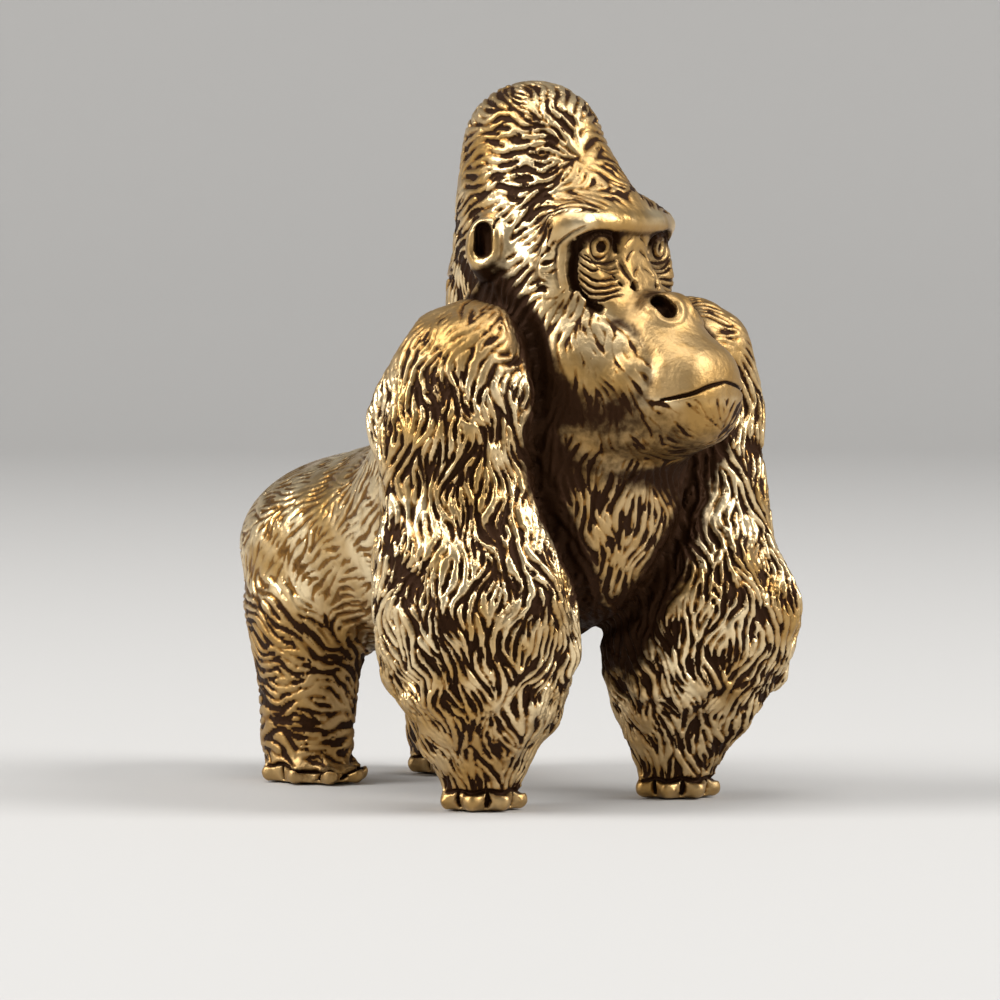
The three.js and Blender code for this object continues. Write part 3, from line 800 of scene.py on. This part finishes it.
share = maths(carve, "DIVIDE", gap, stroke_value("half_width"), clamp=True)
fall = maths(carve, "SUBTRACT", 1.0, maths(carve, "MULTIPLY", share, share))
line = maths(carve, "MULTIPLY", fall, fall)
full_depth = stroke_value("depth")
stain = maths(carve, "MULTIPLY", line, maths(carve, "MULTIPLY", full_depth, STAIN_GAIN, clamp=True))
line_depth = maths(carve, "MULTIPLY", line, full_depth)
skin = given.outputs["Skin"]
for name, value in (
    ("groove", maths(carve, "MAXIMUM", stain, stored("fur"))),
    ("sunk", maths(carve, "MAXIMUM", line_depth, stored("fur_depth"))),
):
    inputs = {"Geometry": skin, "Name": name, "Value": value}
    skin = node_in(carve, "GeometryNodeStoreNamedAttribute", POINT_VALUE, **inputs).outputs[0]
grain = node_in(carve, "ShaderNodeTexNoise", Scale=GRAIN_SCALE, Detail=GRAIN_DETAIL).outputs[0]
lump = maths(carve, "MULTIPLY", maths(carve, "SUBTRACT", grain, 0.5), given.outputs["Grain Height"])
lift = maths(carve, "SUBTRACT", lump, stored("sunk"))
outward = stored("outward", "FLOAT_VECTOR")
offset = node_in(carve, "ShaderNodeVectorMath", {"operation": "SCALE"}, i0=outward, Scale=lift).outputs[0]
moved = node_in(carve, "GeometryNodeSetPosition", Geometry=skin, Offset=offset).outputs[0]
whole = node_in(carve, "GeometryNodeRealizeInstances", Geometry=moved).outputs[0]
finish = given.outputs["Finish"]
dressed = node_in(carve, "GeometryNodeSetMaterial", Geometry=whole, Material=finish).outputs[0]
carve.links.new(dressed, result.inputs[0])

# Painted shade. The brass is darkened in colour where shade falls: in the hollows, under the jaw and
# beside the arms. How hollow a place is comes from how much open air it can see, and more painted
# shade is laid in the folds of the face, the eye sockets, on the chin, the lower cheeks and the throat.
HOLLOW_RAYS = 12
HOLLOW_REACH = 8.0
HOLLOW_PASSES = 4
HOLLOW_PRESS = 0.5
RAY_TURN = 2.4  # radians from one ray to the next
RAY_START = 0.05  # above the skin
STEEPEST = 0.9
# Patches of painted shade on the face and under the jaw
PAINTED_SHADE_PATCHES = {  # path, reach and share
    "eye socket": (
        ((4.3, 4.6, 2.4), (4.3, 4.6, 3.9), (3.6, 5.1, 4.4), (2.8, 5.4, 4.7), (1.9, 5.6, 4.4)),
        0.8, 0.2,
    ),
    "cheek fold": (((3.0, 6.6, -0.3), (2.8, 7.4, -0.75), (3.05, 8.9, -2.4), (3.3, 9.2, -3.6)), 0.8, 0.12),
    "below the jaw": (((0, 6.0, -7.2), (2.5, 5.0, -7.0), (4.5, 2.5, -6.2)), 1.8, 0.15),
    "chin": (((0, 10.6, -6.4), (2.0, 9.6, -6.4), (3.6, 7.4, -6.2)), 2.8, 0.18),
    "lower cheek": (((5.0, 3.6, -5.0), (4.6, 5.4, -5.0), (3.9, 7.2, -4.8)), 2.3, 0.15),
}
# Painted shadow of the head on the throat
THROAT_RISE = 19.5  # from the ground
THROAT_REACH = 2.4
THROAT_SHARE = 0.18
# Painted shade on the chest beside the arms
ARMPIT_PASSES = 60
ARMPIT_PRESS = 0.8
ARMPIT_SHARE = 0.16
ARMPIT_BACK = (-5.0, -3.0)
ARMPIT_TOP = (22.0, 25.0)

# Rays from each point: the more skin they meet close by, the darker the painted shade there
spiral = np.arange(HOLLOW_RAYS) + 0.5
climb = np.sqrt(1 - spiral / HOLLOW_RAYS)
lean = np.sqrt(1 - climb**2)
swing = spiral * RAY_TURN
rays = np.stack((np.cos(swing) * lean, np.sin(swing) * lean, climb), 1)
helper = np.where(np.abs(normals[:, 2:]) < STEEPEST, (0.0, 0.0, 1.0), (1.0, 0.0, 0.0))
first_axis = np.cross(helper, normals)
first_axis /= np.linalg.norm(first_axis, axis=1, keepdims=True)
second_axis = np.cross(normals, first_axis)
origins = (points + normals * RAY_START).tolist()
hollow = np.zeros(len(points))
for ray in rays:
    directions = (first_axis * ray[0] + second_axis * ray[1] + normals * ray[2]).tolist()
    for number, (origin, direction) in enumerate(zip(origins, directions)):
        distance = skin_tree.ray_cast(origin, direction, HOLLOW_REACH)[3]
        if distance is not None:
            hollow[number] += 1 - distance / HOLLOW_REACH
hollow = rubbed(hollow[:, None] / HOLLOW_RAYS, ends, HOLLOW_PASSES, HOLLOW_PRESS)[:, 0]
places = both_sides(in_head(points))
for path, reach, share in PAINTED_SHADE_PATCHES.values():
    hollow += share * mound(path_gaps(places, path), reach)
throat = mound(np.abs(points[:, 2] - THROAT_RISE), THROAT_REACH) * (1 - fade(points[:, 1], *CHEST_BACK))
hollow += THROAT_SHARE * throat * belongs[:, TRUNK]
armpit = seam_share(rubbed(arm_share[:, None], ends, ARMPIT_PASSES, ARMPIT_PRESS)[:, 0])
armpit *= (1 - fade(points[:, 1], *ARMPIT_BACK)) * (1 - fade(points[:, 2], *ARMPIT_TOP))
hollow += ARMPIT_SHARE * armpit

# Finish. Cast brass with an antique patina: rubbed bright on the ridges, clouded and mottled with
# age, a satin on face and shoulders, brown in the dips and nearly black in furrows, with painted shade,
# nearly black, in the hollows.
BRIGHT = (0.90, 0.72, 0.44, 1)
CLOUDED = (0.48, 0.29, 0.095, 1)
MOTTLED = (0.38, 0.22, 0.07, 1)
SATIN = (0.38, 0.222, 0.07, 1)
BROWN = (0.27, 0.135, 0.035, 1)
# The black of the patina in furrows and lines, and of the painted shade in the hollows
BLACK = (0.028, 0.0095, 0.0015, 1)
BRIGHT_ROUGHNESS = 0.28
SATIN_ROUGHNESS = 0.46
PATINA_AND_SHADE_ROUGHNESS = 0.6
PATINA_AND_SHADE_METAL = 0.6
SPECULAR = 0.2
# Grains of the metal: how many to a metre, and their detail
CLOUDS = (260.0, 3.0)
MOTTLES = (1100.0, 3.0)
SPECKLES = (2200.0, 3.0)
PITS = (3600.0, 2.0)
PIT_DEPTH = 0.00006
PIT_STRENGTH = 0.5
PLAIN_PITS = 0.2  # of the pits are left outside the satin
# Where each layer of colour starts and is full, and the most it covers
CLOUD_EDGES = (0.35, 0.7)
MOTTLE_EDGES = (0.45, 0.75)
MOTTLE_SHARE = 0.6
SATIN_SHARE = 0.8
BROWN_EDGES = (0.2, 0.7)
GROOVE_EDGES = (0.18, 0.55)
SHADE_EDGES = (0.07, 0.22)
SPECKLE_EDGES = (0.2, 0.8)
GROOVE_SPECKLE = 0.1  # the speckles fray the edges of the patina
SHADE_SPECKLE = 0.03


def ramp(tree, value, low, high, start=0.0, end=1.0):
    """From start to end as the value goes from low to high."""
    settings = {"interpolation_type": "SMOOTHSTEP"}
    inputs = {"i0": value, "i1": low, "i2": high, "i3": start, "i4": end}
    return node_in(tree, "ShaderNodeMapRange", settings, **inputs).outputs[0]


def blended(tree, share, first, second):
    """The second colour where the share is 1, the first where it is 0."""
    return node_in(tree, "ShaderNodeMix", {"data_type": "RGBA"}, i0=share, i6=first, i7=second).outputs[2]


def grain_in(tree, place, scale, detail):
    return node_in(tree, "ShaderNodeTexNoise", Vector=place, Scale=scale, Detail=detail).outputs[0]


brass = bpy.data.materials.new("antique_brass_finish")
brass.use_nodes = True
paint = brass.node_tree
shader = paint.nodes["Principled BSDF"]


def held(name):
    """A value that the mesh holds at each point."""
    return node_in(paint, "ShaderNodeAttribute", {"attribute_name": name}).outputs["Fac"]


in_satin = held("satin")
place_on = node_in(paint, "ShaderNodeTexCoord").outputs["Object"]
cloud = grain_in(paint, place_on, *CLOUDS)
mottle = grain_in(paint, place_on, *MOTTLES)
speckle = grain_in(paint, place_on, *SPECKLES)
pits = grain_in(paint, place_on, *PITS)
groove_fray = ramp(paint, speckle, *SPECKLE_EDGES, -GROOVE_SPECKLE, GROOVE_SPECKLE)
shade_fray = ramp(paint, speckle, *SPECKLE_EDGES, -SHADE_SPECKLE, SHADE_SPECKLE)
groove = ramp(paint, maths(paint, "ADD", held("groove"), groove_fray), *GROOVE_EDGES)
# Painted shade: the hollows, the face's folds, under the jaw and beside the arms are darkened
shade = ramp(paint, maths(paint, "ADD", held("hollow"), shade_fray), *SHADE_EDGES)
# Patina in furrows and lines, and painted shade, both turn the brass black, duller and less metallic
patina_and_shade = maths(paint, "MAXIMUM", groove, shade)
colour = blended(paint, ramp(paint, cloud, *CLOUD_EDGES), BRIGHT, CLOUDED)
colour = blended(paint, ramp(paint, mottle, *MOTTLE_EDGES, 0.0, MOTTLE_SHARE), colour, MOTTLED)
colour = blended(paint, ramp(paint, in_satin, 0.0, 1.0, 0.0, SATIN_SHARE), colour, SATIN)
colour = blended(paint, ramp(paint, held("dip"), *BROWN_EDGES), colour, BROWN)
plug(paint, blended(paint, patina_and_shade, colour, BLACK), shader.inputs["Base Color"])
plug(paint, ramp(paint, patina_and_shade, 0.0, 1.0, 1.0, PATINA_AND_SHADE_METAL), shader.inputs["Metallic"])
patina_and_shade_roughness = ramp(paint, patina_and_shade, 0.0, 1.0, BRIGHT_ROUGHNESS, PATINA_AND_SHADE_ROUGHNESS)
satin_roughness = ramp(paint, in_satin, 0.0, 1.0, BRIGHT_ROUGHNESS, SATIN_ROUGHNESS)
plug(paint, maths(paint, "MAXIMUM", patina_and_shade_roughness, satin_roughness), shader.inputs["Roughness"])
plug(paint, SPECULAR, shader.inputs["Specular IOR Level"])
pitted = maths(paint, "MULTIPLY", pits, ramp(paint, in_satin, 0.0, 1.0, PLAIN_PITS, 1.0))
relief = maths(paint, "ADD", pitted, speckle)
bump = node_in(paint, "ShaderNodeBump", Strength=PIT_STRENGTH, Distance=PIT_DEPTH, Height=relief)
plug(paint, bump.outputs[0], shader.inputs["Normal"])

# Finished castings. The skin is parted along the seams, and each part is carved, thinned where it
# has too many triangles, and closed by a plain cap on each seam, where it meets its neighbour.
MOST_TRIANGLES = 190000
fine_painted_shade, _ = halved(hollow[:, None], quads)
layers = {
    # Painted shade, from the rays and the patches
    "hollow": fine_painted_shade[:, 0],
    "fur": fur,
    "fur_depth": dip * hair["depth"],
    "dip": dip,
    "satin": hair["satin"],
}
columns = np.concatenate((fine_points, fine_normals, np.stack(list(layers.values()), 1)), 1)
carving = {
    strokes_input.identifier: strokes,
    grain_input.identifier: GRAIN_HEIGHT,
    finish_input.identifier: brass,
}
for number, node in enumerate(CASTINGS):
    used, own = np.unique(fine_quads[casting_of_fine == number], return_inverse=True)
    own_columns, own = halved(columns[used], own.reshape(-1, 4))
    own_columns = own_columns.astype(np.float32)
    mesh = bpy.data.meshes.new(node)
    mesh.from_pydata(own_columns[:, :3].tolist(), [], own.tolist())
    way_out = mesh.attributes.new("outward", "FLOAT_VECTOR", "POINT")
    way_out.data.foreach_set("vector", own_columns[:, 3:6].ravel())
    for name, values in zip(layers, own_columns[:, 6:].T):
        layer = mesh.attributes.new(name, "FLOAT", "POINT")
        layer.data.foreach_set("value", values.copy())
    mesh = worked(mesh, "NODES", carving, node_group=carve)
    triangles = 2 * len(mesh.polygons)
    if triangles > MOST_TRIANGLES:
        mesh = worked(mesh, "DECIMATE", ratio=MOST_TRIANGLES / triangles)
    form = bmesh.new()
    form.from_mesh(mesh)
    rims = [edge for edge in form.edges if edge.is_boundary]
    for edge in rims:
        edge.smooth = False
    for face in form.faces:
        face.smooth = True
    caps = bmesh.ops.holes_fill(form, edges=rims, sides=0)["faces"]
    for cap in bmesh.ops.poke(form, faces=caps)["faces"]:
        cap.smooth = False
    bmesh.ops.scale(form, vec=(MM,) * 3, verts=form.verts)
    form.to_mesh(mesh)
    form.free()
    for name in ("outward", "sunk", "fur", "fur_depth"):
        mesh.attributes.remove(mesh.attributes[name])
    piece = bpy.data.objects.new(f"{node}_casting", mesh)
    bpy.context.scene.collection.objects.link(piece)
    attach(piece, "root")
    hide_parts(node)
bpy.data.objects.remove(strokes)

# Dowels. Drawn brass rods, cut to length, stand in reamed holes across the five seams and are
# soldered in. They keep their CAD shape, with fine marks of the draw plate along them.
DRAWN_LIGHT = (0.74, 0.56, 0.27, 1)
DRAWN_DARK = (0.60, 0.43, 0.18, 1)
DRAWN_ROUGHNESS = (0.25, 0.4)
DRAW_STRETCH = (1.0, 1.0, 0.05)
DRAW_MARKS = (9000.0, 2.0)
DRAW_MARK_EDGES = (0.2, 0.8)
dowel_brass = bpy.data.materials.new("drawn_brass")
dowel_brass.use_nodes = True
dowel_paint = dowel_brass.node_tree
dowel_shader = dowel_paint.nodes["Principled BSDF"]
dowel_place = node_in(dowel_paint, "ShaderNodeTexCoord").outputs["Object"]
drawn_out = node_in(dowel_paint, "ShaderNodeMapping", Vector=dowel_place, Scale=DRAW_STRETCH).outputs[0]
marks = grain_in(dowel_paint, drawn_out, *DRAW_MARKS)
dowel_colour = blended(dowel_paint, marks, DRAWN_LIGHT, DRAWN_DARK)
dowel_roughness = ramp(dowel_paint, marks, *DRAW_MARK_EDGES, *DRAWN_ROUGHNESS)
plug(dowel_paint, 1.0, dowel_shader.inputs["Metallic"])
plug(dowel_paint, dowel_colour, dowel_shader.inputs["Base Color"])
plug(dowel_paint, dowel_roughness, dowel_shader.inputs["Roughness"])
for node, rod in frame["nodes"].items():
    if node.endswith("_dowel"):
        rod.data.materials.clear()
        rod.data.materials.append(dowel_brass)

# Studio. A pale matt floor sweeps up into a round backdrop. Two tall softboxes stand at the sides
# and a square one hangs overhead. The camera looks from the animal's right, a little from above.
BACKDROP_PROFILE = ((0.0, 0.0), (0.55, 0.0), (0.65, 0.02), (0.74, 0.08), (0.80, 0.18), (0.82, 0.32))
BACKDROP_SIDES = 96
BACKDROP_SEAM = 1e-5  # points closer than this are one
UPRIGHT = 1e-6  # a face that leans less than this stands upright
BACKDROP_GREY = (0.50, 0.49, 0.475, 1)
BACKDROP_ROUGHNESS = 0.85
ROOM_WHITE = (0.9, 0.9, 0.9, 1)
ROOM_LIGHT = 0.28
LIGHTS_AIM = Vector((0, 0, 0.02))
TALL_BOX = (0.32, 0.54)
SQUARE_BOX = (0.30, 0.30)
CAMERA_AZIMUTH = math.radians(-35)
CAMERA_ELEVATION = math.radians(5.4)
CAMERA_DISTANCE = 350 * MM
CAMERA_ANGLE = math.radians(9.39)
CAMERA_NEAREST = 0.01
AIM_ACROSS = -4.6 * MM  # from the ground between the hands
AIM_UP = 17.41 * MM

backdrop_form = bmesh.new()
profile = [backdrop_form.verts.new((reach, 0, height)) for reach, height in BACKDROP_PROFILE]
profile_edges = [backdrop_form.edges.new(pair) for pair in zip(profile[:-1], profile[1:])]
bmesh.ops.spin(
    backdrop_form, geom=profile + profile_edges, cent=(0, 0, 0), axis=(0, 0, 1),
    angle=2 * math.pi, steps=BACKDROP_SIDES, use_merge=True,
)
bmesh.ops.remove_doubles(backdrop_form, verts=backdrop_form.verts, dist=BACKDROP_SEAM)
for side in backdrop_form.faces:
    side.smooth = True
    faces_out = side.normal.dot(side.calc_center_median()) > 0
    if side.normal.z < 0 or (side.normal.z < UPRIGHT and faces_out):
        side.normal_flip()
backdrop_mesh = bpy.data.meshes.new("backdrop")
backdrop_form.to_mesh(backdrop_mesh)
backdrop_form.free()
backdrop = bpy.data.objects.new("backdrop", backdrop_mesh)
bpy.context.scene.collection.objects.link(backdrop)
backdrop_paint = bpy.data.materials.new("backdrop_paint")
backdrop_paint.use_nodes = True
backdrop_shader = backdrop_paint.node_tree.nodes["Principled BSDF"]
backdrop_shader.inputs["Base Color"].default_value = BACKDROP_GREY
backdrop_shader.inputs["Roughness"].default_value = BACKDROP_ROUGHNESS
backdrop_mesh.materials.append(backdrop_paint)

world = bpy.data.worlds.new("studio")
world.use_nodes = True
bpy.context.scene.world = world
world.node_tree.nodes["Background"].inputs["Color"].default_value = ROOM_WHITE
world.node_tree.nodes["Background"].inputs["Strength"].default_value = ROOM_LIGHT


def direction_to(azimuth, elevation):
    """From the figure towards a place round it, 0 straight ahead and positive to its left."""
    level = math.cos(elevation)
    return Vector((math.sin(azimuth) * level, -math.cos(azimuth) * level, math.sin(elevation)))


def softbox(name, azimuth, elevation, distance, size, power):
    lamp = bpy.data.lights.new(name, "AREA")
    lamp.shape = "RECTANGLE"
    lamp.size, lamp.size_y = size
    lamp.energy = power
    box = bpy.data.objects.new(name, lamp)
    bpy.context.scene.collection.objects.link(box)
    back = direction_to(math.radians(azimuth), math.radians(elevation))
    box.location = LIGHTS_AIM + back * distance
    box.rotation_euler = back.to_track_quat("Z", "Y").to_euler()


softbox("left_box", -110, 38, 0.75, TALL_BOX, 5.2)
softbox("right_box", 40, 38, 0.75, TALL_BOX, 4.9)
softbox("top_box", -35, 80, 0.55, SQUARE_BOX, 1.3)

right_hand = next(mount for mount in frame["record"]["mounts"] if mount["name"] == "right_hand_sole")
ground_point = Vector((0, right_hand["pos_m"][1], 0))
sight = direction_to(CAMERA_AZIMUTH, CAMERA_ELEVATION)
across = Vector((math.cos(CAMERA_AZIMUTH), math.sin(CAMERA_AZIMUTH), 0))
upward = sight.cross(across)
lens = bpy.data.cameras.new("camera")
lens.angle = CAMERA_ANGLE
lens.clip_start = CAMERA_NEAREST
camera = bpy.data.objects.new("camera", lens)
bpy.context.scene.collection.objects.link(camera)
camera.location = ground_point + sight * CAMERA_DISTANCE
aim = ground_point + across * AIM_ACROSS + upward * AIM_UP
camera.rotation_euler = (camera.location - aim).to_track_quat("Z", "Y").to_euler()
bpy.context.scene.camera = camera
bpy.context.scene.view_settings.view_transform = "Standard"
